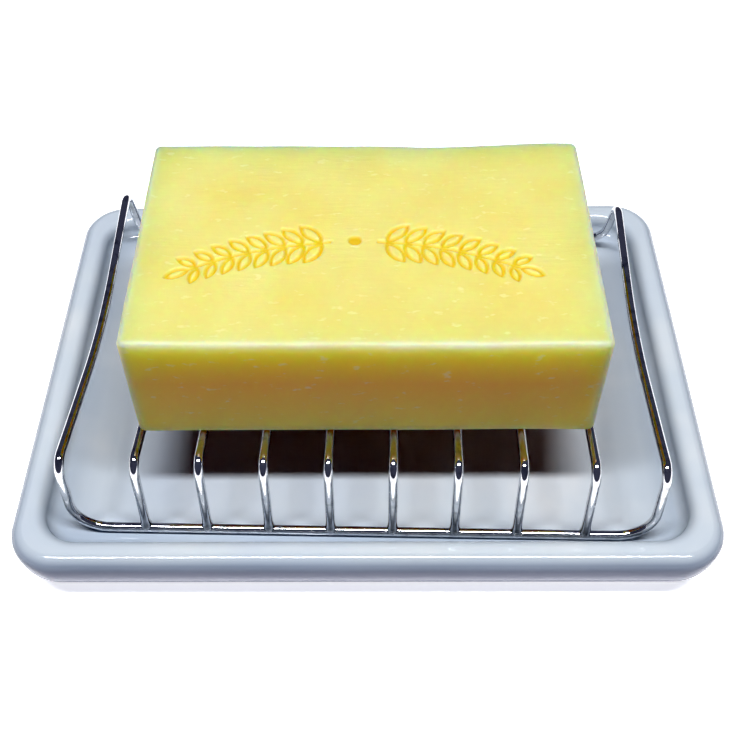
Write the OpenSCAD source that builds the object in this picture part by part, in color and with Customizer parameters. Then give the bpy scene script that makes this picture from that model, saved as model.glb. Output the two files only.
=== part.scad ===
// Soap bar resting on a bent-wire rack that stands in a shallow glazed dish.
// Origin: centre of the dish's foot plane. +X runs along the dish, +Y to its back, +Z up. Millimetres.
// The rack lifts out of the dish along +Z, and the bar lifts off the rack along +Z.

/* [Soap bar] */
// length of the bar
soap_l = 89.8; // [80:0.1:92]
// depth of the bar, front to back
soap_w = 58; // [50:0.1:60]
// height of the bar
soap_h = 25.4; // [18:0.1:32]
// radius of the long edges
soap_edge_r = 1.2; // [0.6:0.1:2]
// radius of the four upright corners
soap_corner_r = 1.8; // [1:0.1:3]
// how far the bar lies forward of the rack's middle
soap_forward = 2.75; // [0:0.05:3.5]
// how far the bar lies to the right of the rack's middle
soap_right = 0; // [0:0.05:1]
// depth of the pressed sprigs
sprig_deep = 0.5; // [0.3:0.05:0.8]
// width of each pressed line
sprig_line = 0.7; // [0.5:0.05:0.9]

/* [Dish] */
// overall length of the dish
dish_l = 143.6; // [142:0.2:148]
// overall depth of the dish, front to back
dish_w = 104.8; // [103.6:0.2:110]
// height of the rim's crest
dish_h = 13.7; // [13:0.1:15]
// plan radius of the outer corners
dish_corner_r = 9.9; // [9:0.1:13]
// radius of the outer wall's curve under to the foot
wall_r = 16; // [13:0.5:20]
// radius of the rim's outer shoulder
rim_r = 2.8; // [1.6:0.1:2.9]
// width of the rim from outside to the start of its inner slope
rim_w = 3.8; // [3.4:0.1:4.2]
// run of the rim's inner slope down to the floor
slope_w = 5; // [4.8:0.1:5.4]
// height of the floor above the foot plane
floor_z = 9.15; // [9:0.05:9.2]
// plan radius of the floor's corners
floor_corner_r = 5; // [3:0.1:7]
// width of the foot ring
foot_w = 4; // [3:0.1:6]
// depth of the hollow inside the foot ring
foot_deep = 3.5; // [1:0.1:3.8]

/* [Wire rack] */
// wire diameter
wire_d = 1.9; // [1.6:0.05:1.95]
// distance between the two end wires, centre to centre
rack_l = 116.4; // [112:0.1:118]
// distance between the front and back rails, centre to centre
rack_w = 85.4; // [84:0.1:86]
// height of the wires' front peaks above the foot plane, centre line
peak_z = 28.8; // [26:0.1:31]
// distance from the rack's middle to the centre of a front peak's bend
peak_y = 37.6; // [36.5:0.1:38.2]
// radius of a peak's bend, centre line
peak_r = 3.2; // [2:0.1:3.6]
// how much nearer to the middle the back peaks lie, at the left end wire
back_in_left = 2.3; // [0:0.1:4]
// how much nearer to the middle the back peaks lie, at the right end wire
back_in_right = 4.5; // [0:0.1:5]
// slope of the wires down to the middle, degrees
sag_a = 8.6; // [6:0.1:9]
// radius of the sag at the middle, centre line
sag_r = 100; // [60:1:120]
// radius of the four corner bends of the loop, centre line
corner_bend_r = 7; // [4:0.1:8]
// distance between neighbouring cross wires
cross_pitch = 12.48; // [12:0.01:12.6]
// how far the last cross wire stands outside the even spacing
last_wire_out = 1.2; // [0:0.1:1.5]
// turn of the rack in the dish, seen from above, degrees
rack_turn = -1.28; // [-1.4:0.01:1.4]

/* [Clearances] */
// gap between the rails and the floor of the dish
rail_gap = 0.25; // [0.15:0.05:0.4]
// gap between the wires and the bar's underside, at its long edges
soap_gap = 0.3; // [0.25:0.05:0.5]

/* [Hidden] */
$fn = 64;
eps = 0.01;
graze = 0.05;
CROSS = 8;
wire_r = wire_d / 2;
// straight lengths run a little way into the bends and are a hair thinner, so the joints close cleanly
seam = 0.01;
seam_in = 0.08;
rod_r = wire_r - seam;
rail_y = rack_w / 2;
rail_z = floor_z + rail_gap + wire_r;
rail_c = [-rail_y, rail_z];
// bend centre of the front peaks, in the plane of one wire (y, z)
peak_c = [-peak_y, peak_z - peak_r];
// bend centre of the back peaks in the same plane, mirrored to the front side: moved in along the fall
function back_c(x) = peak_c + (back_in_left + (back_in_right - back_in_left) * (x / rack_l + 0.5)) * [1, -tan(sag_a)];
// the leg leaves the rail and meets the peak's bend as a tangent
function leg_len(c) = sqrt(pow(norm(c - rail_c), 2) - peak_r * peak_r);
function leg_a(c) = atan2(rail_c.y - c.y, rail_c.x - c.x) + 360 - acos(peak_r / norm(c - rail_c));
function leg_top(c) = c + peak_r * [cos(leg_a(c)), sin(leg_a(c))];
function leg_lean(c) = 180 - leg_a(c);
// straight fall from the peak's bend to the sag's bend
function fall_start(c) = c + peak_r * [sin(sag_a), cos(sag_a)];
fall_top = fall_start(peak_c);
fall_end = [-sag_r * sin(sag_a), fall_top.y + (fall_top.x + sag_r * sin(sag_a)) * tan(sag_a)];
sag_c = [0, fall_end.y + sag_r * cos(sag_a)];
// height of the wires' upper side on a straight fall, at a distance y from the middle
function fall_z(y) = fall_top.y - (-fall_top.x - y) * tan(sag_a) + wire_r / cos(sag_a);
// the bar rests on the falls along its two long bottom edges
seat_front = fall_z(soap_w / 2 + soap_forward) + soap_gap;
seat_back = fall_z(soap_w / 2 - soap_forward) + soap_gap;
soap_tilt = atan((seat_front - seat_back) / soap_w);
// rim slope: two equal arcs, one hollow and one round, meeting halfway
rim_rise = dish_h - floor_z;
slope_turn = 2 * atan(rim_rise / slope_w);
slope_r = rim_rise / (2 * (1 - cos(slope_turn)));
floor_edge = rim_w + slope_w;
foot_in = wall_r - sqrt(wall_r * wall_r - pow(dish_h - rim_r, 2));
// pressed sprigs: two stems on gentle arcs, leaves in pairs
stem_r = 70;
stem_step = 3.55;
stem_start = 4.6;
PAIRS = 8;

// ---------- shared shapes ----------

module round_rect(l, w, r) {
    square([l - 2 * r, w], center = true);
    square([l, w - 2 * r], center = true);
    for (x = [-1, 1], y = [-1, 1])
        translate([x * (l / 2 - r), y * (w / 2 - r)]) circle(r);
}

// a profile (outward, up) carried round a rounded rectangle whose corner axes are at +-cx, +-cy
module carried_round(cx, cy, z0, z1) {
    for (k = [0 : 3])
        translate([(k == 0 || k == 3 ? 1 : -1) * cx, (k < 2 ? 1 : -1) * cy, 0])
            rotate([0, 0, 90 * k]) rotate_extrude(angle = 90) children();
    for (m = [0, 1]) mirror([m, 0, 0])
        translate([cx, cy, 0]) rotate([90, 0, 0]) linear_extrude(2 * cy) children();
    for (m = [0, 1]) mirror([0, m, 0])
        rotate([0, 0, 90]) translate([cy, cx, 0]) rotate([90, 0, 0]) linear_extrude(2 * cx) children();
    translate([-cx, -cy, z0]) cube([2 * cx, 2 * cy, z1 - z0]);
}

// a straight length of wire between two points of the drawing plane, run on by a and b at its ends
module rod(p, q, a = seam_in, b = seam_in) {
    translate([p.x, p.y, 0]) rotate([0, 0, atan2(q.y - p.y, q.x - p.x)])
        translate([-a, 0, 0]) rotate([0, 90, 0]) cylinder(h = norm(q - p) + a + b, r = rod_r);
}

// a bend of wire about c, from angle a0 to a1
module bend(c, r, a0, a1) {
    translate([c.x, c.y, 0]) rotate([0, 0, a0])
        rotate_extrude(angle = a1 - a0) translate([r, 0]) circle(wire_r);
}

// the drawing plane stood up across the dish at x: its x runs along Y, its y along Z
module across(x) {
    translate([x, 0, 0]) rotate([90, 0, 90]) children();
}

// peaks, falls and sag of the wire at x
module arch(x) {
    for (m = [0, 1]) mirror([m, 0, 0]) {
        c = m == 0 ? peak_c : back_c(x);
        bend(c, peak_r, 90 - sag_a, leg_a(c));
        rod(fall_start(c), fall_end);
    }
    bend(sag_c, sag_r, 270 - sag_a, 270 + sag_a);
}

// ---------- soap bar ----------

module leaf(l, w) {
    r = (l * l + w * w) / (4 * w);
    module lens(q) {
        intersection() {
            translate([l / 2, r - w / 2]) circle(q);
            translate([l / 2, w / 2 - r]) circle(q);
        }
    }
    difference() {
        lens(r);
        lens(r - sprig_line);
    }
}

// one sprig growing to +X from the middle, its stem rising and falling on an arc
module sprig() {
    a1 = stem_start / stem_r * 180 / PI;
    a2 = (stem_start + PAIRS * stem_step) / stem_r * 180 / PI;
    translate([0, -stem_r, 0]) {
        rotate([0, 0, 90 - a2]) rotate_extrude(angle = a2 - a1)
            translate([stem_r - sprig_line / 2, -sprig_deep]) square([sprig_line, sprig_deep + 1]);
        for (k = [0 : PAIRS - 1]) {
            s = stem_start + (k + 0.45) * stem_step;
            size = 1.18 - 0.05 * k;
            rotate([0, 0, 90 - s / stem_r * 180 / PI]) translate([stem_r, 0, -sprig_deep])
                for (side = [-1, 1])
                    rotate([0, 0, -90 + side * 52]) translate([0.2, 0, 0])
                        linear_extrude(sprig_deep + 1) leaf(5.6 * size, 2.7 * size);
        }
        rotate([0, 0, 90 - a2]) translate([stem_r, 0, -sprig_deep]) rotate([0, 0, -90])
            translate([-0.35, 0, 0]) linear_extrude(sprig_deep + 1) leaf(5.4, 2.5);
    }
}

module soap_bar() {
    color([0.95, 0.92, 0.52])
        translate([soap_right, -soap_forward, (seat_front + seat_back) / 2])
            rotate([-soap_tilt, 0, 0]) difference() {
                intersection() {
                    linear_extrude(soap_h) round_rect(soap_l, soap_w, soap_corner_r);
                    translate([0, soap_w / 2 + 1, soap_h / 2]) rotate([90, 0, 0])
                        linear_extrude(soap_w + 2) round_rect(soap_l, soap_h, soap_edge_r);
                    translate([-soap_l / 2 - 1, 0, soap_h / 2]) rotate([90, 0, 90])
                        linear_extrude(soap_l + 2) round_rect(soap_w, soap_h, soap_edge_r);
                }
                translate([-2, -1.6, soap_h]) {
                    for (m = [0, 1]) mirror([m, 0, 0]) sprig();
                    translate([0, 0.3, -sprig_deep]) cylinder(h = sprig_deep + 1, r = 1.3);
                }
            }
}

// ---------- dish ----------

module dish_outside() {
    difference() {
        square([dish_corner_r, dish_h]);
        // curve of the wall, from the shoulder down to the foot
        difference() {
            translate([dish_corner_r - wall_r, -1]) square([wall_r + 1, dish_h - rim_r + 1]);
            translate([dish_corner_r - wall_r, dish_h - rim_r]) circle(wall_r);
        }
        // shoulder of the rim
        difference() {
            translate([dish_corner_r - rim_r, dish_h - rim_r]) square([rim_r + 1, rim_r + 1]);
            translate([dish_corner_r - rim_r, dish_h - rim_r]) circle(rim_r);
        }
    }
}

module dish_inside() {
    half = [slope_w / 2, rim_rise / 2];
    // floor to halfway: hollow arc, stopped a hair short so that the two arcs don't graze
    translate([0, floor_z]) square([floor_corner_r, rim_rise]);
    intersection() {
        translate([floor_corner_r - eps, floor_z]) square([half.x - graze + eps, half.y]);
        translate([floor_corner_r, floor_z + slope_r]) circle(slope_r);
    }
    // halfway to crest: round arc
    difference() {
        translate([floor_corner_r - eps, floor_z + half.y]) square([slope_w + eps, half.y]);
        translate([floor_corner_r + slope_w, dish_h - slope_r]) circle(slope_r);
    }
    translate([0, dish_h]) square([floor_corner_r + slope_w, 2]);
}

module dish() {
    fx = dish_l / 2 - floor_edge - floor_corner_r;
    fy = dish_w / 2 - floor_edge - floor_corner_r;
    color([0.9, 0.93, 0.96]) difference() {
        carried_round(dish_l / 2 - dish_corner_r, dish_w / 2 - dish_corner_r, 0, dish_h) dish_outside();
        carried_round(fx, fy, floor_z, dish_h + 2) dish_inside();
        // hollow inside the foot ring
        translate([0, 0, -1]) linear_extrude(foot_deep + 1)
            round_rect(dish_l - 2 * (foot_in + foot_w), dish_w - 2 * (foot_in + foot_w), 5);
    }
}

// ---------- wire rack ----------

// one rail with its two corner bends and legs; c gives the bend centres its legs run up to, left and right
module rail_side(c) {
    b = corner_bend_r;
    x = rack_l / 2;
    translate([0, rail_c.x, rail_c.y]) {
        rod([b - x, 0], [x - b, 0]);
        for (m = [0, 1]) mirror([1 - m, 0, 0]) rotate([90 - leg_lean(c[m]), 0, 0]) {
            bend([x - b, b], b, -90, 0);
            rod([x, b], [x, leg_len(c[m])]);
        }
    }
}

module rack_frame() {
    color([0.75, 0.76, 0.78]) rotate([0, 0, rack_turn]) {
        rail_side([peak_c, peak_c]);
        mirror([0, 1, 0]) rail_side([back_c(-rack_l / 2), back_c(rack_l / 2)]);
        for (x = [-1, 1]) across(x * rack_l / 2) arch(x * rack_l / 2);
    }
}

// a cross wire: its feet are shaped to the round of the two rails they are welded on
module cross_wire(i) {
    x = (i - (CROSS + 1) / 2) * cross_pitch + (i == CROSS ? last_wire_out : 0);
    color([0.78, 0.79, 0.81]) rotate([0, 0, rack_turn]) difference() {
        across(x) {
            arch(x);
            for (m = [0, 1]) mirror([m, 0, 0]) {
                c = m == 0 ? peak_c : back_c(x);
                rod(rail_c + 0.45 * [sin(leg_lean(c)), cos(leg_lean(c))], leg_top(c), 0);
            }
        }
        for (m = [0, 1]) mirror([0, m, 0])
            translate([x - 3, rail_c.x, rail_c.y]) rotate([0, 90, 0]) cylinder(h = 6, r = rod_r);
    }
}

module cross_wire_1() { cross_wire(1); }
module cross_wire_2() { cross_wire(2); }
module cross_wire_3() { cross_wire(3); }
module cross_wire_4() { cross_wire(4); }
module cross_wire_5() { cross_wire(5); }
module cross_wire_6() { cross_wire(6); }
module cross_wire_7() { cross_wire(7); }
module cross_wire_8() { cross_wire(8); }

soap_bar();
dish();
rack_frame();
cross_wire_1();
cross_wire_2();
cross_wire_3();
cross_wire_4();
cross_wire_5();
cross_wire_6();
cross_wire_7();
cross_wire_8();
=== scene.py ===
import math
import bpy
import numpy as np
from mathutils import Matrix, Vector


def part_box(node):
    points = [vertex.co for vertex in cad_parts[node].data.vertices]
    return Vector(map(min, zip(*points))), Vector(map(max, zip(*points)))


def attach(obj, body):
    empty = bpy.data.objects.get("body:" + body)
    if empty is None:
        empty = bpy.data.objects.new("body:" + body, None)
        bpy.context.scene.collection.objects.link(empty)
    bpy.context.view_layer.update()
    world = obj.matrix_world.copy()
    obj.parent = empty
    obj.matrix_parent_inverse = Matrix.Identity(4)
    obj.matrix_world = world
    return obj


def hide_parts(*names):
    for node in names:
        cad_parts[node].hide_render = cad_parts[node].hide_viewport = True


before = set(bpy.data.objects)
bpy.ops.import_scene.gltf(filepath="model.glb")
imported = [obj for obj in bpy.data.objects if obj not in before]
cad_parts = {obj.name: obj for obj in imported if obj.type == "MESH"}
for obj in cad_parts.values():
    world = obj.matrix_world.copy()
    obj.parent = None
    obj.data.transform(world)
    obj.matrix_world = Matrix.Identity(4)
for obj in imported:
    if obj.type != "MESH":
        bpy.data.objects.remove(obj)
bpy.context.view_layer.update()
mm = 0.001
print("frame loaded, pieces:", len(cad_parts))


def linearColour(hexCode):
    # sRGB hex to linear light, with full alpha
    values = [int(hexCode[i:i + 2], 16) / 255 for i in (1, 3, 5)]
    return [v / 12.92 if v <= 0.04045 else ((v + 0.055) / 1.055) ** 2.4 for v in values] + [1.0]


def addNode(tree, kind, inputs=None, stops=None, **settings):
    # one node with its settings; an input is a value, or (node, output name) for a link;
    # stops are a ramp's (position, hex colour), which starts with two and gets the rest
    node = tree.nodes.new(kind)
    for name, value in settings.items():
        setattr(node, name, value)
    for name, value in (inputs or {}).items():
        if isinstance(value, tuple) and hasattr(value[0], "outputs"):
            tree.links.new(value[0].outputs[value[1]], node.inputs[name])
        else:
            node.inputs[name].default_value = value
    if stops:
        elements = node.color_ramp.elements
        while len(elements) < len(stops):
            elements.new(0.5)
        for element, (place, hexCode) in zip(elements, stops):
            element.position = place
            element.color = linearColour(hexCode)
    return node


def newMaterial(name):
    material = bpy.data.materials.new(name)
    material.use_nodes = True
    material.node_tree.nodes.clear()
    return material, material.node_tree, addNode(material.node_tree, "ShaderNodeTexCoord")


def smoothStep(value, low, high):
    t = np.clip((value - low) / (high - low), 0, 1)
    return t * t * (3 - 2 * t)


def makePiece(name, points, faces, material, attributes=None):
    # points in metres in the object's frame; faces a list of index arrays, quads first
    mesh = bpy.data.meshes.new(name)
    counts = np.concatenate([np.full(len(block), block.shape[1]) for block in faces])
    corners = np.concatenate([block.ravel() for block in faces]).astype(np.int32)
    mesh.vertices.add(len(points))
    mesh.vertices.foreach_set("co", np.asarray(points, np.float32).ravel())
    mesh.loops.add(len(corners))
    mesh.loops.foreach_set("vertex_index", corners)
    mesh.polygons.add(len(counts))
    starts = np.concatenate([[0], np.cumsum(counts)[:-1]]).astype(np.int32)
    mesh.polygons.foreach_set("loop_start", starts)
    mesh.polygons.foreach_set("use_smooth", np.full(len(counts), True))
    mesh.update(calc_edges=True)
    mesh.validate()
    for key, values in (attributes or {}).items():
        layer = mesh.attributes.new(key, "FLOAT", "POINT")
        layer.data.foreach_set("value", np.asarray(values, np.float32))
    mesh.materials.append(material)
    piece = bpy.data.objects.new(name, mesh)
    bpy.context.scene.collection.objects.link(piece)
    return piece


def ringFaces(rings, around, closedRings=False):
    # quads between successive rings of the same number of points, each ring closed on itself
    r = np.arange(rings if closedRings else rings - 1)[:, None]
    k = np.arange(around)[None, :]
    nextRing = (r + 1) % rings
    nextPoint = (k + 1) % around
    return np.stack([r * around + k, r * around + nextPoint,
                     nextRing * around + nextPoint, nextRing * around + k], -1).reshape(-1, 4)


def waves(x, y, z, seed, size, count=7):
    # a smooth wandering value between about -1 and 1: a sum of sines in fixed random directions
    rng = np.random.default_rng(seed)
    total = np.zeros(np.broadcast(x, y, z).shape)
    for _ in range(count):
        direction = rng.normal(size=3)
        direction /= np.linalg.norm(direction) * size * rng.uniform(0.7, 1.6)
        total = total + np.sin(2 * math.pi * (x * direction[0] + y * direction[1] + z * direction[2])
                               + rng.uniform(0, 6.28))
    return total / math.sqrt(count) / 1.4


# Cold-process soap: cast in a mould, cut with a wire and pressed. Milky and slightly translucent,
# a waxy satin skin, pale flecks of set oil, and deeper yellow where the press has squeezed it.
# Painted shade on the soap: the side colours darken from gold through amber to olive down the sides, and the
# underside is a painted dark brown shadow.
# The rim colour is a painted highlight along the bar's edges, where the rounding would catch the light.
soapLook = {"pale": "#ebe6a2", "body": "#eae094", "fleck": "#fefcdc", "rim": "#f6f7da", "deep": "#e6cf4e",
            "gold": "#ffff6c", "amber": "#ffec54", "side": "#fdd46c", "olive": "#fbe084", "paintedUnderShadow": "#c87a34",
            "mottleMm": 14, "fleckMm": 1.5, "fleckSqueeze": 0.55, "fleckFrom": 0.63, "fleckFull": 0.72,
            "cutMm": 0.9, "cutSqueeze": 0.18, "cutDeepMm": 0.3, "grainMm": 0.35, "grainDeepMm": 0.12,
            "subsurface": 0.9, "scatterMm": (15.0, 7.5, 1.0), "ior": 1.46}


def soapMaterial():
    material, tree, place = newMaterial("coldProcessSoap")
    mottle = addNode(tree, "ShaderNodeTexNoise", {"Vector": (place, "Object"), "Scale": 1000 / soapLook["mottleMm"],
                                                  "Detail": 3.0, "Roughness": 0.6})
    top = addNode(tree, "ShaderNodeValToRGB", {"Fac": (mottle, "Fac")},
                  [(0.32, soapLook["body"]), (0.68, soapLook["pale"])])
    # the top keeps its own paler colours; down the sides runs painted shade, partly the soap's own colour, from
    # gold through amber to olive, and the underside is painted dark brown shadow
    drop = addNode(tree, "ShaderNodeAttribute", attribute_name="drop")
    side = addNode(tree, "ShaderNodeValToRGB", {"Fac": (drop, "Fac")},
                   [(0.03, soapLook["gold"]), (0.16, soapLook["amber"]), (0.42, soapLook["side"]),
                    (0.90, soapLook["olive"]), (0.98, soapLook["olive"]), (1.0, soapLook["paintedUnderShadow"])])
    topBlend = addNode(tree, "ShaderNodeAttribute", attribute_name="topBlend")
    base = addNode(tree, "ShaderNodeMix", {"Factor": (topBlend, "Fac"), "A": (side, "Color"), "B": (top, "Color")},
                   data_type="RGBA")
    stretched = addNode(tree, "ShaderNodeMapping", {"Vector": (place, "Object"),
                                                    "Scale": (soapLook["fleckSqueeze"], 1.0, 1.0)})
    flecks = addNode(tree, "ShaderNodeTexNoise", {"Vector": (stretched, "Vector"), "Detail": 2.0,
                                                  "Scale": 1000 / soapLook["fleckMm"], "Roughness": 0.55})
    fleckMask = addNode(tree, "ShaderNodeValToRGB", {"Fac": (flecks, "Fac")},
                        [(soapLook["fleckFrom"], "#000000"), (soapLook["fleckFull"], "#9a9a9a")])
    withFlecks = addNode(tree, "ShaderNodeMix", {"Factor": (fleckMask, "Color"), "A": (base, "Result"),
                                                 "B": linearColour(soapLook["fleck"])}, data_type="RGBA")
    pressed = addNode(tree, "ShaderNodeAttribute", attribute_name="pressed")
    withPress = addNode(tree, "ShaderNodeMix", {"Factor": (pressed, "Fac"), "A": (withFlecks, "Result"),
                                                "B": linearColour(soapLook["deep"])}, data_type="RGBA")
    # painted highlight: the edges are paled with the rim colour where two faces meet
    edge = addNode(tree, "ShaderNodeAttribute", attribute_name="edge")
    withEdgeHighlight = addNode(tree, "ShaderNodeMix", {"Factor": (edge, "Fac"), "A": (withPress, "Result"),
                                              "B": linearColour(soapLook["rim"])}, data_type="RGBA")
    cutPlace = addNode(tree, "ShaderNodeMapping", {"Vector": (place, "Object"),
                                                   "Scale": (soapLook["cutSqueeze"], 1.0, 1.0)})
    cutMarks = addNode(tree, "ShaderNodeTexNoise", {"Vector": (cutPlace, "Vector"), "Detail": 3.0,
                                                    "Scale": 1000 / soapLook["cutMm"]})
    grain = addNode(tree, "ShaderNodeTexNoise", {"Vector": (place, "Object"), "Scale": 1000 / soapLook["grainMm"],
                                                 "Detail": 2.0})
    cutBump = addNode(tree, "ShaderNodeBump", {"Height": (cutMarks, "Fac"), "Strength": 0.22,
                                               "Distance": soapLook["cutDeepMm"] * mm})
    bump = addNode(tree, "ShaderNodeBump", {"Height": (grain, "Fac"), "Strength": 0.15,
                                            "Distance": soapLook["grainDeepMm"] * mm,
                                            "Normal": (cutBump, "Normal")})
    gloss = addNode(tree, "ShaderNodeValToRGB", {"Fac": (mottle, "Fac")}, [(0.3, "#a8a8a8"), (0.7, "#bcbcbc")])
    longest = soapLook["scatterMm"][0]
    shader = addNode(tree, "ShaderNodeBsdfPrincipled", {
        "Base Color": (withEdgeHighlight, "Result"), "Roughness": (gloss, "Color"), "Normal": (bump, "Normal"),
        "Subsurface Weight": soapLook["subsurface"], "Subsurface Scale": longest * mm,
        "Subsurface Radius": [r / longest for r in soapLook["scatterMm"]], "IOR": soapLook["ior"]})
    addNode(tree, "ShaderNodeOutputMaterial", {"Surface": (shader, "BSDF")})
    return material


# Glazed stoneware: slip-cast, dipped in a cool white gloss glaze and fired, wiped bare on its foot ring.
# A hard clear reflection with a faint pool and ripple, a few pinholes, and buff clay at the foot.
# The grey-blue pool colour is painted shade: in the hollow at the foot of the rim's slope, partly thicker glaze
# there, and under the outer shoulder.
glazeLook = {"white": "#d4dce4", "cool": "#d0d9e4", "thin": "#e2e6ea", "pool": "#9fabbb", "clay": "#cfc3ae",
             "pin": "#8f8a80", "footMm": 0.5, "fadeMm": 0.35, "poolMm": 30, "pinEveryMm": 9.0, "rippleMm": 7,
             "rippleDeepMm": 0.4, "gloss": 0.07, "bareRough": 0.75, "ior": 1.5}


def glazeMaterial():
    material, tree, place = newMaterial("whiteGlazedStoneware")
    pool = addNode(tree, "ShaderNodeTexNoise", {"Vector": (place, "Object"), "Scale": 1000 / glazeLook["poolMm"],
                                                "Detail": 3.0})
    white = addNode(tree, "ShaderNodeValToRGB", {"Fac": (pool, "Fac")},
                    [(0.3, glazeLook["cool"]), (0.55, glazeLook["white"]), (0.75, glazeLook["thin"])])
    pins = addNode(tree, "ShaderNodeTexVoronoi", {"Vector": (place, "Object"),
                                                  "Scale": 1000 / glazeLook["pinEveryMm"]})
    pinMask = addNode(tree, "ShaderNodeValToRGB", {"Fac": (pins, "Distance")},
                      [(0.012, "#404040"), (0.03, "#000000")])
    speck = addNode(tree, "ShaderNodeMix", {"Factor": (pinMask, "Color"), "A": (white, "Color"),
                                            "B": linearColour(glazeLook["pin"])}, data_type="RGBA")
    split = addNode(tree, "ShaderNodeSeparateXYZ", {"Vector": (place, "Object")})
    bare = addNode(tree, "ShaderNodeMapRange", {"Value": (split, "Z"), "From Min": glazeLook["footMm"] * mm,
                                                "From Max": (glazeLook["footMm"] + glazeLook["fadeMm"]) * mm,
                                                "To Min": 1.0, "To Max": 0.0})
    # painted shade in the hollow inside the rim and under the outer shoulder, mixed in from a mesh attribute
    paintedGlazeShade = addNode(tree, "ShaderNodeAttribute", attribute_name="paintedGlazeShade")
    withPaintedShade = addNode(tree, "ShaderNodeMix", {"Factor": (paintedGlazeShade, "Fac"), "A": (speck, "Result"),
                                               "B": linearColour(glazeLook["pool"])}, data_type="RGBA")
    colour = addNode(tree, "ShaderNodeMix", {"Factor": (bare, "Result"), "A": (withPaintedShade, "Result"),
                                             "B": linearColour(glazeLook["clay"])}, data_type="RGBA")
    rough = addNode(tree, "ShaderNodeMapRange", {"Value": (bare, "Result"), "To Min": glazeLook["gloss"],
                                                 "To Max": glazeLook["bareRough"]})
    ripple = addNode(tree, "ShaderNodeTexNoise", {"Vector": (place, "Object"), "Detail": 1.5,
                                                  "Scale": 1000 / glazeLook["rippleMm"]})
    bump = addNode(tree, "ShaderNodeBump", {"Height": (ripple, "Fac"), "Strength": 0.12,
                                            "Distance": glazeLook["rippleDeepMm"] * mm})
    shader = addNode(tree, "ShaderNodeBsdfPrincipled", {
        "Base Color": (colour, "Result"), "Roughness": (rough, "Result"), "Normal": (bump, "Normal"),
        "IOR": glazeLook["ior"]})
    addNode(tree, "ShaderNodeOutputMaterial", {"Surface": (shader, "BSDF")})
    return material


# Chromed steel wire: drawn, bent, spot-welded, then plated. A bright blue-grey mirror with faint drawing
# lines, a little haze of water marks, and rougher plate around the welds.
chromeLook = {"bright": "#dcdde0", "dull": "#b9babd", "weld": "#8b8a8a", "spotMm": 2.5, "hazeMm": 0.6,
              "low": 0.045, "high": 0.12, "weldRough": 0.25, "hazeDeepMm": 0.08}


def chromeMaterial():
    material, tree, place = newMaterial("chromedSteelWire")
    spots = addNode(tree, "ShaderNodeTexNoise", {"Vector": (place, "Object"), "Scale": 1000 / chromeLook["spotMm"],
                                                 "Detail": 4.0, "Roughness": 0.6})
    colour = addNode(tree, "ShaderNodeValToRGB", {"Fac": (spots, "Fac")},
                     [(0.3, chromeLook["dull"]), (0.5, chromeLook["bright"])])
    weld = addNode(tree, "ShaderNodeAttribute", attribute_name="weld")
    darker = addNode(tree, "ShaderNodeMix", {"Factor": (weld, "Fac"), "A": (colour, "Color"),
                                             "B": linearColour(chromeLook["weld"])}, data_type="RGBA")
    haze = addNode(tree, "ShaderNodeMapRange", {"Value": (spots, "Fac"), "From Min": 0.35, "From Max": 0.7,
                                                "To Min": chromeLook["low"], "To Max": chromeLook["high"]})
    rough = addNode(tree, "ShaderNodeMath", {0: (weld, "Fac"), 1: chromeLook["weldRough"], 2: (haze, "Result")},
                    operation="MULTIPLY_ADD")
    fine = addNode(tree, "ShaderNodeTexNoise", {"Vector": (place, "Object"), "Scale": 1000 / chromeLook["hazeMm"],
                                                "Detail": 2.0})
    bump = addNode(tree, "ShaderNodeBump", {"Height": (fine, "Fac"), "Strength": 0.06,
                                            "Distance": chromeLook["hazeDeepMm"] * mm})
    shader = addNode(tree, "ShaderNodeBsdfPrincipled", {
        "Base Color": (darker, "Result"), "Roughness": (rough, "Value"), "Normal": (bump, "Normal"),
        "Metallic": 1.0})
    addNode(tree, "ShaderNodeOutputMaterial", {"Surface": (shader, "BSDF")})
    return material


soapStuff, glazeStuff, chromeStuff = soapMaterial(), glazeMaterial(), chromeMaterial()
print("materials made")

bar = {"tiltDeg": 0.83, "cornerR": 1.5, "edgeR": 1.1, "pressDeep": 0.5, "pressLine": 0.72,
       "sprigMiddle": (-2.0, -1.6), "stemR": 70, "stemStart": 4.6, "stemStep": 3.55, "pairs": 8,
       "leafL": 5.6, "leafW": 2.7, "leafTurnDeg": 52, "bandLow": -14.0, "bandHigh": 6.0,
       "rimMm": 1.3, "paintedEdgeHighlight": 0.9, "topBlendMm": (1.2, 0.2), "fineMm": 0.25, "coarseMm": 0.5, "sideRings": 22,
       "waveMm": 0.12, "taperLeft": 0.45, "taperRight": 0.15, "backBandMm": 9, "frontBandMm": 8, "frontSkew": 0.45,
       "dips": ((0.75, 14, 14), (0.25, -22, 12)), "backSag": (0.35, 10, 16)}


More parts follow.
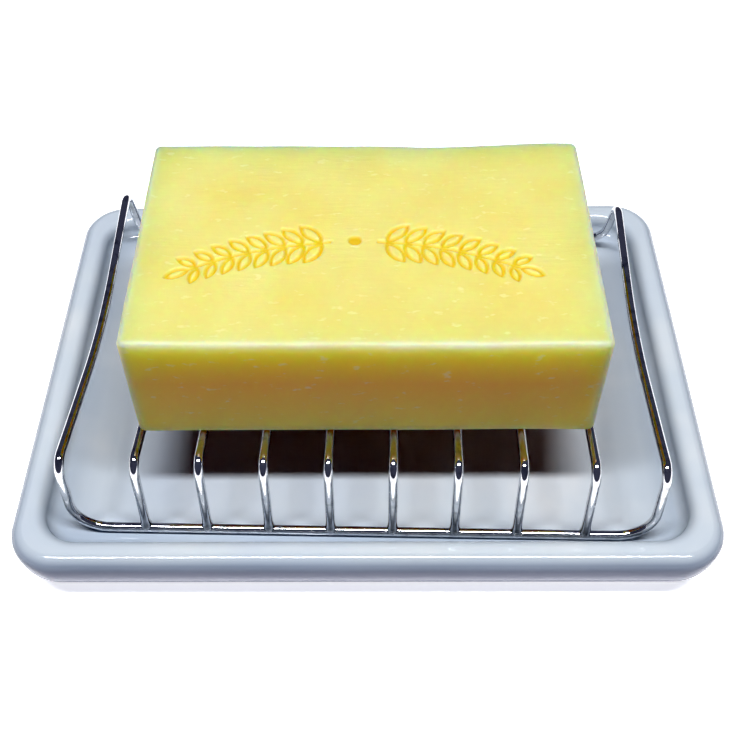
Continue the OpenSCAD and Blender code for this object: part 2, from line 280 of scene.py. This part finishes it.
def sprigDepth(x, y):
    # how deep the press went, 0 to 1: the nearest line of any leaf outline or stem, softened at its edges
    half = bar["pressLine"] / 2
    x = np.abs(x - bar["sprigMiddle"][0])
    # y counts from the middle of the stem's circle
    y = y - bar["sprigMiddle"][1] + bar["stemR"]
    along = np.arctan2(x, y) * bar["stemR"]
    end = bar["stemStart"] + bar["pairs"] * bar["stemStep"]
    near = np.abs(np.hypot(x, y) - bar["stemR"]) - half
    near = np.maximum(near, np.maximum(bar["stemStart"] - along, along - end))
    near = np.minimum(near, np.hypot(x, y - bar["stemR"] - 0.3) - 1.3)

    def leaf(s, turn, length, width, back):
        a = s / bar["stemR"]
        px, py = x * math.cos(a) - y * math.sin(a), x * math.sin(a) + y * math.cos(a) - bar["stemR"]
        t = math.radians(turn)
        u, v = px * math.cos(t) + py * math.sin(t) - back, -px * math.sin(t) + py * math.cos(t)
        r = (length ** 2 + width ** 2) / (4 * width)
        lens = np.maximum(np.hypot(u - length / 2, v - (r - width / 2)),
                          np.hypot(u - length / 2, v + (r - width / 2))) - r
        return np.abs(lens + half) - half

    for k in range(bar["pairs"]):
        size = 1.18 - 0.05 * k
        for side in (-1, 1):
            near = np.minimum(near, leaf(bar["stemStart"] + (k + 0.45) * bar["stemStep"], side * bar["leafTurnDeg"],
                                         bar["leafL"] * size, bar["leafW"] * size, 0.2))
    near = np.minimum(near, leaf(end, 0, 5.4, 2.5, -0.35))
    return 1 - smoothStep(near, -0.22, 0.16)


def makeSoapBar():
    # a grid over the top whose outer rings fold down over the edges and sides: every ring is a rounded
    # rectangle at one inset and height, and the corner blocks spread over a quarter circle
    low, high = np.array(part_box("soap_bar")) / mm
    tilt = math.radians(bar["tiltDeg"])
    centre = (low + high) / 2
    boxY, boxZ = high[1] - low[1], high[2] - low[2]
    width = (boxY * math.cos(tilt) - boxZ * math.sin(tilt)) / math.cos(2 * tilt)
    height = (boxZ * math.cos(tilt) - boxY * math.sin(tilt)) / math.cos(2 * tilt)
    halfX, halfY, halfZ = (high[0] - low[0]) / 2, width / 2, height / 2
    cornerR, edgeR = bar["cornerR"], bar["edgeR"]
    # insets and heights of the rings, from the top's border over the edge and down to the underside
    arc = np.linspace(0, math.pi / 2, 8)[1:]
    inset = np.concatenate([[(cornerR + edgeR) / 2, edgeR], edgeR * (1 - np.sin(arc)), np.zeros(bar["sideRings"]),
                            edgeR * (1 - np.cos(arc)), [(cornerR + edgeR) / 2]])
    side = np.linspace(halfZ - edgeR, -halfZ + edgeR, bar["sideRings"] + 2)[1:-1]
    level = np.concatenate([[halfZ, halfZ], halfZ - edgeR * (1 - np.cos(arc)), side,
                            -halfZ + edgeR * (1 - np.sin(arc)), [-halfZ]])
    rings = len(inset)
    innerX, innerY = halfX - cornerR, halfY - cornerR
    # the grid is fine where the sprigs are and coarse elsewhere
    xs = np.linspace(-innerX, innerX, int(2 * innerX / bar["fineMm"]) + 1)
    fine = np.arange(bar["bandLow"], bar["bandHigh"], bar["fineMm"])
    ys = np.concatenate([np.linspace(-innerY, fine[0], int((fine[0] + innerY) / bar["coarseMm"]) + 1)[:-1], fine,
                         np.linspace(fine[-1], innerY, int((innerY - fine[-1]) / bar["coarseMm"]) + 1)[1:]])
    # band counts rings outward from the grid, core is the grid's nearest line
    bandX = np.concatenate([np.arange(-rings, 0) * 1.0, np.zeros(len(xs)), np.arange(1, rings + 1)])
    bandY = np.concatenate([np.arange(-rings, 0) * 1.0, np.zeros(len(ys)), np.arange(1, rings + 1)])
    coreX = np.concatenate([np.full(rings, xs[0]), xs, np.full(rings, xs[-1])])
    coreY = np.concatenate([np.full(rings, ys[0]), ys, np.full(rings, ys[-1])])
    bx, by = np.meshgrid(bandX, bandY, indexing="ij")
    cx, cy = np.meshgrid(coreX, coreY, indexing="ij")
    ax, ay = np.abs(bx), np.abs(by)
    ring = np.maximum(ax, ay).astype(int)
    reach = np.where(ring > 0, cornerR - np.concatenate([[cornerR], inset])[ring], 0)
    turn = np.where(ax >= ay, 45 * ay / np.maximum(ring, 1), 90 - 45 * ax / np.maximum(ring, 1))
    turn = np.radians(turn)
    x = cx + np.sign(bx) * reach * np.cos(turn)
    y = cy + np.sign(by) * reach * np.sin(turn)
    z = np.concatenate([[halfZ], level])[ring]
    flatZ = z.copy()
    pressed = np.where(ring == 0, sprigDepth(x, y), 0)
    # how near an edge: the second smallest distance to a face, so it is large only where two faces meet
    gaps = np.sort(np.stack([halfX - np.abs(x), halfY - np.abs(y), halfZ - np.abs(z)]), 0)[1]
    # this paints a pale highlight along the edges
    edge = np.exp(-(gaps / bar["rimMm"]) ** 2) * (0.8 + 0.2 * waves(x, y, z, 5, 9))
    # the wire-cut shape: a little narrower at the front, a dip along the back edge, slow waves on every face
    front = np.clip(0.5 - y / (2 * halfY), 0, 1)
    x = x + np.where(x < 0, bar["taperLeft"] * front, -bar["taperRight"] * front) * np.abs(x) / halfX
    up = np.clip(0.5 + z / (2 * halfZ), 0, 1)
    backEdge = smoothStep(y, halfY - bar["backBandMm"], halfY) * up
    y = y - backEdge * sum(deep * np.exp(-((x - middle) / wide) ** 2) for deep, middle, wide in bar["dips"])
    frontEdge = 1 - smoothStep(y, -halfY, -halfY + bar["frontBandMm"])
    y = y + frontEdge * bar["frontSkew"] * np.clip(-x / halfX, 0, 1) * up
    soft = bar["waveMm"]
    x = x + soft * 0.8 * waves(x, y, z, 11, 26) - np.sign(x) * soft
    y = y + soft * waves(x, y, z, 12, 24) - np.sign(y) * soft
    z = z + np.where(z > 0, soft * waves(x, y, 0 * z, 13, 22) - soft, 0) - bar["pressDeep"] * pressed
    deep, middle, wide = bar["backSag"]
    z = z - backEdge * deep * np.exp(-((x - middle) / wide) ** 2)
    rows, columns = x.shape
    points = np.stack([x.ravel(), y.ravel(), z.ravel()], 1)
    c, s = math.cos(-tilt), math.sin(-tilt)
    turned = np.stack([points[:, 0], points[:, 1] * c - points[:, 2] * s,
                       points[:, 1] * s + points[:, 2] * c], 1) + centre
    index = np.arange(rows * columns).reshape(rows, columns)
    quads = np.stack([index[:-1, :-1], index[1:, :-1], index[1:, 1:], index[:-1, 1:]], -1).reshape(-1, 4)
    rim = np.concatenate([index[0, :], index[1:, -1], index[-1, -2::-1], index[-2:0:-1, 0]])
    # the last two attributes choose the top's colour and paint the shade down the sides to the underside
    piece = makePiece("soapBar", turned * mm, [quads, rim[None, :]], soapStuff,
                      {"pressed": pressed.ravel(), "edge": np.clip(edge, 0, 1).ravel() * bar["paintedEdgeHighlight"],
                       "topBlend": smoothStep(flatZ, halfZ - bar["topBlendMm"][0], halfZ - bar["topBlendMm"][1]).ravel(),
                       "drop": ((halfZ - flatZ) / (2 * halfZ)).ravel()})
    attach(piece, "bar_body")
    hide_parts("soap_bar")
    print("soap bar:", len(quads), "quads", (halfX, halfY, halfZ))
    return piece


# pool and shoulder set the strength of the painted shade in the hollow and under the shoulder
dish = {"cornerR": 9.9, "wallR": 16.0, "rimR": 2.8, "rimW": 3.8, "slopeW": 5.0, "floorZ": 9.15, "floorCornerR": 5.0,
        "footW": 4.0, "footDeep": 3.5, "crestCornerR": (8.9, 8.2), "cornerSteps": 20, "longSteps": 60,
        "shortSteps": 44, "waveMm": 0.06, "hollowShadeIn": 1.2, "hollowShadeWide": (4.5, 2.2), "pool": 0.6,
        "shoulderShadeZ": 11.9, "shoulderShadeWide": (1.3, 2.6), "shoulder": 0.95}


def makeDish():
    # one profile (inset from the outside, height) carried round a rounded rectangle; the corner's radius
    # and its centre both follow the inset, as the mould's inner and outer corners differ
    low, high = np.array(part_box("dish")) / mm
    halfX, halfY, top = high[0], high[1], high[2]
    # the inner slope is two equal arcs, one up from the floor and one over to the rim
    rise = top - dish["floorZ"]
    turn = 2 * math.atan(rise / dish["slopeW"])
    slopeR = rise / (2 * (1 - math.cos(turn)))
    edge = dish["rimW"] + dish["slopeW"]
    a = np.linspace(0, turn, 14)
    hollow = np.stack([edge - slopeR * np.sin(a), dish["floorZ"] + slopeR * (1 - np.cos(a))], 1)
    rounded = np.stack([dish["rimW"] + slopeR * np.sin(a[::-1]), top - slopeR * (1 - np.cos(a[::-1]))], 1)[1:]
    # the crest, the shoulder's quarter circle, the wall curving in, and the foot ring
    b = np.linspace(0, math.pi / 2, 12)
    crest = np.array([[dish["rimW"] - 0.4, top], [dish["rimR"] + 0.4, top]])
    shoulder = np.stack([dish["rimR"] * (1 - np.sin(b)), top - dish["rimR"] * (1 - np.cos(b))], 1)
    footAngle = math.asin((top - dish["rimR"]) / dish["wallR"])
    c = np.linspace(0, footAngle, 22)[1:]
    wall = np.stack([dish["wallR"] * (1 - np.cos(c)), top - dish["rimR"] - dish["wallR"] * np.sin(c)], 1)
    foot = wall[-1, 0]
    wall[-1] = [foot - 0.12, 0.28]
    inner, deep = foot + dish["footW"], dish["footDeep"]
    ring = np.array([[foot + 0.05, 0.06], [foot + 0.35, 0.0], [inner - 0.4, 0.0], [inner - 0.05, 0.12],
                     [inner, 0.5], [inner, deep - 0.6], [inner + 0.2, deep - 0.15], [inner + 0.7, deep]])
    floorIn = np.stack([np.linspace(halfY - 1.0, edge + 0.8, 14), np.full(14, dish["floorZ"])], 1)
    under = np.stack([np.linspace(inner + 2, halfY - 1.0, 10), np.full(10, deep)], 1)
    profile = np.concatenate([floorIn, hollow, rounded, crest, shoulder, wall, ring, under])
    inset, level = profile[:, 0], profile[:, 1]
    crestStart = len(floorIn) + len(hollow) + len(rounded)
    inside = np.arange(len(profile)) < crestStart
    # corner radii: inside they grow from the floor's, outside they shrink from the dish's own
    radius = np.where(inside, dish["floorCornerR"] + edge - inset, dish["cornerR"] - inset)
    radius = np.maximum(radius, 0.3)
    radius[crestStart:crestStart + 2] = dish["crestCornerR"]
    blend = np.clip((inset - foot) / 3.0, 0, 1) * ~inside
    radius = np.where(blend > 0, radius * (1 - blend) + blend * np.minimum(5.0, 2 + halfY - inset), radius)
    radius = np.minimum(radius, halfY - inset)
    centreX, centreY = halfX - inset - radius, halfY - inset - radius
    # one quarter turn of each corner, then the straight run to the next
    steps = dish["cornerSteps"]
    angle, sideX, sideY = [], [], []
    for k, run in enumerate((dish["longSteps"], dish["shortSteps"], dish["longSteps"], dish["shortSteps"])):
        sx, sy = ((1, 1), (-1, 1), (-1, -1), (1, -1))[k]
        nx, ny = ((-1, 1), (-1, -1), (1, -1), (1, 1))[k]
        angle.append(np.linspace(k * 90, (k + 1) * 90, steps))
        sideX.append(np.full(steps, sx))
        sideY.append(np.full(steps, sy))
        t = np.linspace(0, 1, run + 2)[1:-1]
        angle.append(np.full(run, (k + 1) * 90.0))
        sideX.append(sx + (nx - sx) * t)
        sideY.append(sy + (ny - sy) * t)
    angle, sideX, sideY = np.radians(np.concatenate(angle)), np.concatenate(sideX), np.concatenate(sideY)
    x = sideX[None, :] * centreX[:, None] + radius[:, None] * np.cos(angle)[None, :]
    y = sideY[None, :] * centreY[:, None] + radius[:, None] * np.sin(angle)[None, :]
    z = np.repeat(level[:, None], len(angle), 1)
    # slow waves of a cast body, always inward, and none at the foot
    bow = dish["waveMm"] * smoothStep(z, 0.5, 4.0)
    x = x - np.sign(x) * bow * (1 + waves(x, y, z, 21, 60)) * 0.5
    y = y - np.sign(y) * bow * (1 + waves(x, y, z, 22, 60)) * 0.5
    z = z - bow * (1 + waves(x, y, z, 23, 50)) * 0.5
    around = len(angle)
    points = np.stack([x.ravel(), y.ravel(), z.ravel()], 1)
    quads = ringFaces(len(profile), around)
    first, last = np.arange(around)[None, :], (len(profile) - 1) * around + np.arange(around)[None, :]
    # painted shade: a grey-blue tone in the hollow at the foot of the rim's slope, partly thicker glaze there, and
    # just under the outer shoulder, where the wall falls into shade
    fromHollowShade, fromShoulder = inset - (edge - dish["hollowShadeIn"]), level - dish["shoulderShadeZ"]
    hollowShadePlace = np.exp(-(fromHollowShade / np.where(fromHollowShade > 0, *dish["hollowShadeWide"])) ** 2) * inside
    shoulderShadePlace = np.exp(-(fromShoulder / np.where(fromShoulder > 0, *dish["shoulderShadeWide"])) ** 2) * ~inside
    place = hollowShadePlace * dish["pool"] + shoulderShadePlace * (inset < dish["rimR"]) * dish["shoulder"]
    paintedGlazeShade = np.repeat(place[:, None], around, 1) * (0.85 + 0.15 * waves(x, y, z, 24, 30))
    piece = makePiece("glazedDish", points * mm, [quads, first[:, ::-1], last], glazeStuff,
                      {"paintedGlazeShade": paintedGlazeShade.ravel()})
    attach(piece, "dish_body")
    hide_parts("dish")
    print("dish:", len(quads), "quads")
    return piece


rack = {"wireR": 0.95, "railGap": 0.25, "length": 116.4, "width": 85.4, "peakZ": 28.8, "peakY": 37.6, "peakR": 3.2,
        "backInLeft": 2.3, "backInRight": 4.5, "sagDeg": 8.6, "sagR": 100.0, "cornerR": 7.0, "turnDeg": -1.28,
        "around": 28, "weldGrow": 0.22, "weldMm": 1.1, "weldDull": 0.6, "thinner": 0.01}
railEnd = np.array([-rack["width"] / 2, dish["floorZ"] + rack["railGap"] + rack["wireR"]])


def halfWire(inward):
    # centre line from a leg's top to the wire's middle, (y, z) on the front side: a bend from the leg over
    # the peak, a straight fall, and half of the sag; inward moves the peak along the fall
    sag = math.radians(rack["sagDeg"])
    front = np.array([-rack["peakY"], rack["peakZ"] - rack["peakR"]])
    centre = front + inward * np.array([1, -math.tan(sag)])
    toRail = railEnd - centre
    start = math.atan2(toRail[1], toRail[0]) + 2 * math.pi - math.acos(rack["peakR"] / np.linalg.norm(toRail))
    bendAngle = np.linspace(start, math.pi / 2 - sag, 30)
    bend = centre + rack["peakR"] * np.stack([np.cos(bendAngle), np.sin(bendAngle)], 1)
    fallTop = front + rack["peakR"] * np.array([math.sin(sag), math.cos(sag)])
    fallEnd = np.array([-rack["sagR"] * math.sin(sag), 0.0])
    fallEnd[1] = fallTop[1] - (fallEnd[0] - fallTop[0]) * math.tan(sag)
    fall = bend[-1] + (fallEnd - bend[-1]) * np.linspace(0, 1, 26)[1:-1, None]
    sagAngle = np.linspace(-sag, 0, 14)
    middle = np.stack([rack["sagR"] * np.sin(sagAngle),
                       fallEnd[1] + rack["sagR"] * (math.cos(sag) - np.cos(sagAngle))], 1)
    return np.concatenate([bend, fall, middle])


def backInward(x):
    # the back peaks stand nearer to the middle, more so to the right
    return rack["backInLeft"] + (rack["backInRight"] - rack["backInLeft"]) * (x / rack["length"] + 0.5)


def tube(path, radius, closed):
    # a circle carried along the path; its frame is turned as little as possible from point to point
    count = len(path)
    ahead = np.roll(path, -1, 0) - path if closed else np.gradient(path, axis=0)
    behind = path - np.roll(path, 1, 0)
    tangent = ahead / np.linalg.norm(ahead, axis=1)[:, None]
    if closed:
        tangent += behind / np.linalg.norm(behind, axis=1)[:, None]
    tangent /= np.linalg.norm(tangent, axis=1)[:, None]
    normal = np.zeros_like(path)
    guide = np.array([1.0, 0, 0]) if abs(tangent[0][0]) < 0.8 else np.array([0, 0, 1.0])
    normal[0] = guide - tangent[0] * guide.dot(tangent[0])
    normal[0] /= np.linalg.norm(normal[0])
    for k in range(1, count):
        step = normal[k - 1] - tangent[k] * normal[k - 1].dot(tangent[k])
        normal[k] = step / np.linalg.norm(step)
    side = np.cross(tangent, normal)
    if closed:
        # spread the angle left over at the join along the whole loop
        last = normal[-1] - tangent[0] * normal[-1].dot(tangent[0])
        gap = math.atan2(last.dot(side[0]), last.dot(normal[0]))
        angle = -gap * np.arange(count) / count
        c, s = np.cos(angle)[:, None], np.sin(angle)[:, None]
        normal, side = normal * c + side * s, side * c - normal * s
    spin = np.linspace(0, 2 * math.pi, rack["around"], endpoint=False)
    ring = normal[:, None, :] * np.cos(spin)[None, :, None] + side[:, None, :] * np.sin(spin)[None, :, None]
    points = (path[:, None, :] + ring * np.broadcast_to(radius, (count,))[:, None, None]).reshape(-1, 3)
    faces = [ringFaces(count, rack["around"], closed)]
    if not closed:
        first = np.arange(rack["around"])[None, ::-1]
        faces += [first, (count - 1) * rack["around"] + np.arange(rack["around"])[None, :]]
    return points, faces


def turnedRack(points):
    # the whole rack lies turned a little clockwise in the dish
    a = math.radians(rack["turnDeg"])
    return np.stack([points[:, 0] * math.cos(a) - points[:, 1] * math.sin(a),
                     points[:, 0] * math.sin(a) + points[:, 1] * math.cos(a), points[:, 2]], 1)


def endPath(side):
    # from the middle of the front rail round a corner, up the leg, along the end wire and down to the back rail
    half, r = rack["length"] / 2, rack["cornerR"]
    parts = []
    for inward, mirror in ((0.0, 1), (backInward(side * half), -1)):
        line = halfWire(inward)
        leg = line[0] - railEnd
        legLength = np.linalg.norm(leg)
        a = np.linspace(0, math.pi / 2, 18)
        run, climb = np.linspace(0, half - r, 40)[:-1], np.linspace(r, legLength, 12)[1:-1]
        flat = np.concatenate([np.stack([run, 0 * run], 1),
                               np.stack([half - r + r * np.sin(a), r - r * np.cos(a)], 1),
                               np.stack([0 * climb + half, climb], 1)])
        low = np.stack([flat[:, 0], railEnd[0] + flat[:, 1] * leg[0] / legLength,
                        railEnd[1] + flat[:, 1] * leg[1] / legLength], 1)
        path = np.concatenate([low, np.stack([np.full(len(line), half), line[:, 0], line[:, 1]], 1)])
        parts.append(path * [side, mirror, 1])
    return np.concatenate([parts[0], parts[1][-2::-1]])


def makeFrameWire():
    # the closed loop: rail, corner bend, leg, end wire, leg, corner bend, rail, and the same back again
    right, left = endPath(1), endPath(-1)
    loop = np.concatenate([right, left[-2:0:-1]])
    points, faces = tube(turnedRack(loop), rack["wireR"], True)
    piece = makePiece("rackFrameWire", points * mm, faces, chromeStuff, {"weld": np.zeros(len(points))})
    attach(piece, "rack_body")
    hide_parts("rack_frame")
    return piece


def makeCrossWire(number):
    # one wire with its two legs down to the rails; the feet swell a little where they are welded
    low, high = np.array(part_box(f"cross_wire_{number}")) / mm
    place = (low[0] + high[0]) / 2 / math.cos(math.radians(rack["turnDeg"]))
    front, back = halfWire(0.0), halfWire(backInward(place))
    halves = []
    for line in (front, back):
        leg = line[0] - railEnd
        legLength = np.linalg.norm(leg)
        climb = np.concatenate([np.linspace(0.35, 2.4, 12), np.linspace(2.4, legLength, 14)[1:-1]])
        halves.append((np.concatenate([railEnd + climb[:, None] * leg / legLength, line]),
                       np.concatenate([climb, np.full(len(line), 99.0)])))
    flat = np.concatenate([halves[0][0], (halves[1][0] * [-1, 1])[-2::-1]])
    fromFoot = np.concatenate([halves[0][1], halves[1][1][-2::-1]])
    path = np.stack([np.full(len(flat), place), flat[:, 0], flat[:, 1]], 1)
    swell = np.exp(-((fromFoot - rack["wireR"]) / rack["weldMm"]) ** 2)
    points, faces = tube(turnedRack(path), rack["wireR"] * (1 + rack["weldGrow"] * swell) - rack["thinner"],
                         False)
    weld = np.repeat(swell, rack["around"])
    piece = makePiece(f"crossWire{number}", points * mm, faces, chromeStuff, {"weld": weld * rack["weldDull"]})
    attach(piece, "rack_body")
    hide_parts(f"cross_wire_{number}")
    return piece


makeSoapBar()
makeDish()
makeFrameWire()
for number in range(1, 9):
    makeCrossWire(number)
print("pieces made")

studio = {"floorSize": 4.0, "floorDrop": 0.0001, "paperMm": 125, "paperGlow": 0.72,
          "stripHeight": 1.0, "stripForward": 0.17, "stripAim": 0.03, "stripLong": 0.95, "stripWide": 0.10,
          "stripPower": 12.6, "skyColour": "#6f74b8", "skyStrength": 0.05, "shineColour": "#a9abc0",
          "shineStrength": 0.38, "underColour": "#b4b6dc", "underStrength": 0.74, "horizon": 0.02,
          "gamma": 0.76, "blackLevel": 0.05}

# Pale studio paper: matt, faintly uneven in tone, with a slight glow as if lit from below, so the part's
# own shadow on it stays faint.
floorStuff, tree, place = newMaterial("paleStudioPaper")
paper = addNode(tree, "ShaderNodeTexNoise", {"Vector": (place, "Object"), "Detail": 2.0,
                                              "Scale": 1000 / studio["paperMm"]})
paperColour = addNode(tree, "ShaderNodeValToRGB", {"Fac": (paper, "Fac")}, [(0.2, "#f8f8f8"), (0.8, "#fcfcfc")])
shader = addNode(tree, "ShaderNodeBsdfPrincipled", {
    "Base Color": (paperColour, "Color"), "Roughness": 0.8, "Emission Color": linearColour("#ffffff"),
    "Emission Strength": studio["paperGlow"]})
addNode(tree, "ShaderNodeOutputMaterial", {"Surface": (shader, "BSDF")})
half = studio["floorSize"] / 2
drop = -studio["floorDrop"]
corners = np.array([[-half, -half, drop], [half, -half, drop], [half, half, drop], [-half, half, drop]])
floor = makePiece("studioFloor", corners, [np.array([[0, 1, 2, 3]])], floorStuff)
# scattered light from below comes from the world's lower half and not from the paper
floor.visible_diffuse = False


def addLight(name, size, power, place, target):
    # a rectangle facing its target, its long side along X
    data = bpy.data.lights.new(name, "AREA")
    data.shape = "RECTANGLE"
    data.size, data.size_y = size
    data.energy = power
    light = bpy.data.objects.new(name, data)
    bpy.context.scene.collection.objects.link(light)
    direction = np.array(place, float) - np.array(target, float)
    direction /= np.linalg.norm(direction)
    right = np.array([1.0, 0, 0])
    right = right - direction * right.dot(direction)
    right /= np.linalg.norm(right)
    upward = np.cross(direction, right)
    light.matrix_world = Matrix([[right[i], upward[i], direction[i], place[i]] for i in range(3)] + [[0, 0, 0, 1]])
    return light


addLight("stripLamp", (studio["stripLong"], studio["stripWide"]), studio["stripPower"],
         (0.0, -studio["stripForward"], studio["stripHeight"]), (0, 0, studio["stripAim"]))

# A dim bluish room above and a pale glow from below for scattered light, a brighter room for
# reflections, and a white backdrop for the camera.
world = bpy.data.worlds.new("studioWorld")
bpy.context.scene.world = world
world.use_nodes = True
tree = world.node_tree
tree.nodes.clear()
direction = addNode(tree, "ShaderNodeTexCoord")
height = addNode(tree, "ShaderNodeSeparateXYZ", {"Vector": (direction, "Generated")})
below = addNode(tree, "ShaderNodeMapRange", {"Value": (height, "Z"), "From Min": -studio["horizon"],
                                             "From Max": studio["horizon"], "To Min": 1.0, "To Max": 0.0})
ray = addNode(tree, "ShaderNodeLightPath")
skyTint = addNode(tree, "ShaderNodeMix", {"Factor": (ray, "Is Glossy Ray"), "A": linearColour(studio["skyColour"]),
                                          "B": linearColour(studio["shineColour"])}, data_type="RGBA")
skyLevel = addNode(tree, "ShaderNodeMapRange", {"Value": (ray, "Is Glossy Ray"), "To Min": studio["skyStrength"],
                                                "To Max": studio["shineStrength"]})
sky = addNode(tree, "ShaderNodeBackground", {"Color": (skyTint, "Result"), "Strength": (skyLevel, "Result")})
backdrop = addNode(tree, "ShaderNodeBackground", {"Color": linearColour("#ffffff"), "Strength": 1.0})
under = addNode(tree, "ShaderNodeBackground", {"Color": linearColour(studio["underColour"]),
                                               "Strength": studio["underStrength"]})
both = addNode(tree, "ShaderNodeMixShader", {"Fac": (below, "Result"), 1: (sky, "Background"),
                                             2: (under, "Background")})
seen = addNode(tree, "ShaderNodeMixShader", {"Fac": (ray, "Is Camera Ray"), 1: (both, "Shader"),
                                             2: (backdrop, "Background")})
addNode(tree, "ShaderNodeOutputWorld", {"Surface": (seen, "Shader")})

# Camera: place in millimetres from the dish's foot centre, angles in degrees
eye = {"place": (2.42, -151.33, 195.05), "yaw": -1.124, "down": 50.485, "roll": -1.105, "lens": 51.61}
yaw, down, roll = (math.radians(eye[k]) for k in ("yaw", "down", "roll"))
forward = np.array([math.sin(yaw) * math.cos(down), math.cos(yaw) * math.cos(down), -math.sin(down)])
level = np.array([math.cos(yaw), -math.sin(yaw), 0.0])
upright = np.cross(level, forward)
right = math.cos(roll) * level + math.sin(roll) * upright
upward = -math.sin(roll) * level + math.cos(roll) * upright
cameraData = bpy.data.cameras.new("camera")
cameraData.sensor_width = 36.0
cameraData.lens = eye["lens"]
cameraData.clip_start = 0.01
camera = bpy.data.objects.new("camera", cameraData)
bpy.context.scene.collection.objects.link(camera)
camera.matrix_world = Matrix([[right[i], upward[i], -forward[i], eye["place"][i] * mm] for i in range(3)]
                             + [[0, 0, 0, 1]])
bpy.context.scene.camera = camera
# plain view, with more contrast and slightly deeper darks
view = bpy.context.scene.view_settings
view.view_transform = "Standard"
view.gamma = studio["gamma"]
view.use_curve_mapping = True
view.curve_mapping.black_level = [studio["blackLevel"]] * 3
view.curve_mapping.update()
print("studio made")
